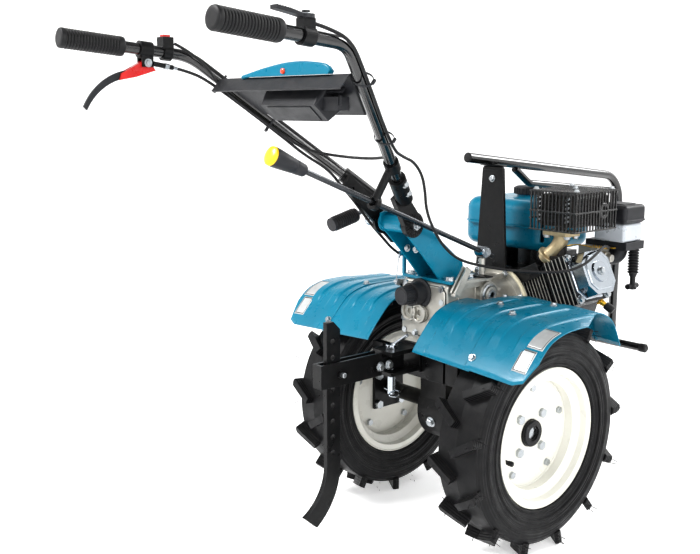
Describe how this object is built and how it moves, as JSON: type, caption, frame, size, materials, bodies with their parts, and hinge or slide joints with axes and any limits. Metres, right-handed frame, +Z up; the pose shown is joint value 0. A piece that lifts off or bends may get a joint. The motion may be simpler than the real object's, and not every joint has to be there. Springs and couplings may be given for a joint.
{
  "type": "walking tractor",
  "caption": "Two-wheel walking tractor with petrol engine, gearbox, lugged tyres, fenders, rear drag stake and tall steering handlebar with clutch, throttle and gear rod.",
  "frame": {"origin": "on the ground, under the middle of the overall length and width", "axes": "+X to the machine's right, +Y forward towards the engine, +Z up"},
  "size_m": [0.684, 1.3344, 1.005],
  "materials": {
    "tyre": "moulded black rubber",
    "white_paint": "gloss off-white paint on pressed steel",
    "black_paint": "satin black paint",
    "black_tube_paint": "gloss black powder coat",
    "steel": "zinc plated steel",
    "cast_aluminium": "bead-blasted casting",
    "chrome": "bright plating",
    "teal_paint": "gloss blue-green paint",
    "black_plastic": "fine-textured black plastic",
    "black_rubber": "matt black rubber",
    "red_plastic": "gloss red plastic",
    "clear_plastic": "milky translucent plastic",
    "starter_enamel": "black enamel on a pressed light-alloy cover",
    "exhaust_steel": "heat-stained steel",
    "guard_enamel": "heat-proof black enamel"
  },
  "bodies": {
    "chassis": {"final_drive_case": "black_paint", "gearbox_casing": "cast_aluminium", "bell_housing": "cast_aluminium", "power_takeoff_cap": "black_plastic", "chassis_bolts": "steel", "selector_bracket": "cast_aluminium", "rear_beam": "black_paint", "hitch_clevis": "black_paint", "steering_column": "teal_paint", "fender_right_inner": "teal_paint", "fender_right_outer": "teal_paint", "fender_left_inner": "teal_paint", "fender_left_outer": "teal_paint", "crankcase": "cast_aluminium", "cylinder_head": "cast_aluminium", "rocker_cover": "chrome", "starter_housing": "starter_enamel", "fuel_tank": "teal_paint", "muffler": "exhaust_steel", "muffler_guard": "guard_enamel", "air_cleaner_bowl": "clear_plastic", "air_cleaner_lid": "black_plastic", "carburettor": "cast_aluminium", "engine_bed": "black_paint", "guard_hoop": "black_tube_paint", "guard_stay": "black_paint"},
    "wheels": {"axle_shaft": "steel", "tyre_right": "tyre", "tyre_left": "tyre", "rim_right": "white_paint", "rim_left": "white_paint", "wheel_hubs": "black_paint", "wheel_bolts": "steel"},
    "handlebar": {"handle_bracket_right": "black_paint", "handle_bracket_left": "black_paint", "pivot_bolt": "steel", "handlebar_tube_right": "black_tube_paint", "handlebar_tube_left": "black_tube_paint", "grips": "black_rubber", "gear_rod_guide": "black_paint", "console_panel": "black_plastic", "console_trim": "teal_paint", "storage_box": "black_plastic", "clutch_lever_clamp": "black_paint", "stop_switch_box": "black_paint", "throttle_clamp": "black_paint", "control_cables": "black_rubber"},
    "lock_lever": {"height_lock_lever": "black_plastic"},
    "clutch_lever": {"clutch_lever_body": "red_plastic", "clutch_lever_blade": "black_plastic"},
    "clutch_arm": {"clutch_arm": "steel"},
    "stop_rocker": {"stop_switch_rocker": "red_plastic"},
    "throttle_lever": {"throttle_lever": "black_plastic"},
    "rod_swivel": {"rod_swivel": "chrome"},
    "gear_rod": {"gear_rod": "chrome", "gear_knob": "black_plastic"},
    "draw_bar": {"draw_bar": "black_paint"},
    "hitch_pin": {"hitch_pin": "chrome"},
    "drag_stake": {"drag_stake": "black_paint"},
    "fuel_cap": {"fuel_cap": "black_plastic"}
  },
  "joints": [
    {"name": "axle_spin", "type": "hinge", "parent": "chassis", "child": "wheels", "pos_m": [0, 0.06968, 0.232], "axis": [1, 0, 0], "continuous": true},
    {"name": "handlebar_height", "type": "hinge", "parent": "chassis", "child": "handlebar", "pos_m": [0, -0.09532, 0.643], "axis": [1, 0, 0], "range_deg": [-10, 10], "deforming": ["control_cables"]},
    {"name": "height_lock", "type": "hinge", "parent": "handlebar", "child": "lock_lever", "pos_m": [-0.078, -0.09532, 0.643], "axis": [1, 0, 0], "range_deg": [0, 95]},
    {"name": "clutch_squeeze", "type": "hinge", "parent": "handlebar", "child": "clutch_lever", "pos_m": [-0.229, -0.50732, 0.943], "axis": [-1, 0, 0], "range_deg": [0, 26], "stiffness_Nm_per_rad": 2, "springref_deg": -17.19},
    {"name": "clutch_arm_turn", "type": "hinge", "parent": "chassis", "child": "clutch_arm", "pos_m": [-0.066, -0.01032, 0.503], "axis": [-1, 0, 0], "range_deg": [0, 12]},
    {"name": "stop_switch", "type": "hinge", "parent": "handlebar", "child": "stop_rocker", "pos_m": [-0.2263, -0.46732, 0.99], "axis": [1, 0, 0], "range_deg": [-8, 8]},
    {"name": "throttle", "type": "hinge", "parent": "handlebar", "child": "throttle_lever", "pos_m": [0.2288, -0.50132, 0.993], "axis": [0, 0, 1], "range_deg": [0, 60]},
    {"name": "gear_swivel", "type": "hinge", "parent": "chassis", "child": "rod_swivel", "pos_m": [0.062, 0.08368, 0.575], "axis": [1, 0, 0], "range_deg": [-4.5, 4.5]},
    {"name": "gear_shift", "type": "slide", "parent": "rod_swivel", "child": "gear_rod", "axis": [0, -0.9281, 0.3723], "range_m": [-0.022, 0.022]},
    {"name": "draw_bar_swing", "type": "hinge", "parent": "chassis", "child": "draw_bar", "pos_m": [0, -0.11032, 0.368], "axis": [0, 0, 1], "range_deg": [-12, 12]},
    {"name": "hitch_pin_lift", "type": "slide", "parent": "chassis", "child": "hitch_pin", "axis": [0, 0, 1], "range_m": [0, 0.11]},
    {"name": "stake_depth", "type": "slide", "parent": "draw_bar", "child": "drag_stake", "axis": [0, 0, 1], "range_m": [-0.0624, 0.156]},
    {"name": "fuel_cap_turn", "type": "hinge", "parent": "chassis", "child": "fuel_cap", "pos_m": [-0.053, 0.36968, 0.678], "axis": [0, 0, 1], "range_deg": [0, 90]}
  ],
  "couplings": [
    {"joint": "gear_swivel", "follows": "handlebar_height", "ratio": 0.38},
    {"joint": "clutch_arm_turn", "follows": "clutch_squeeze", "ratio": 0.45}
  ]
}
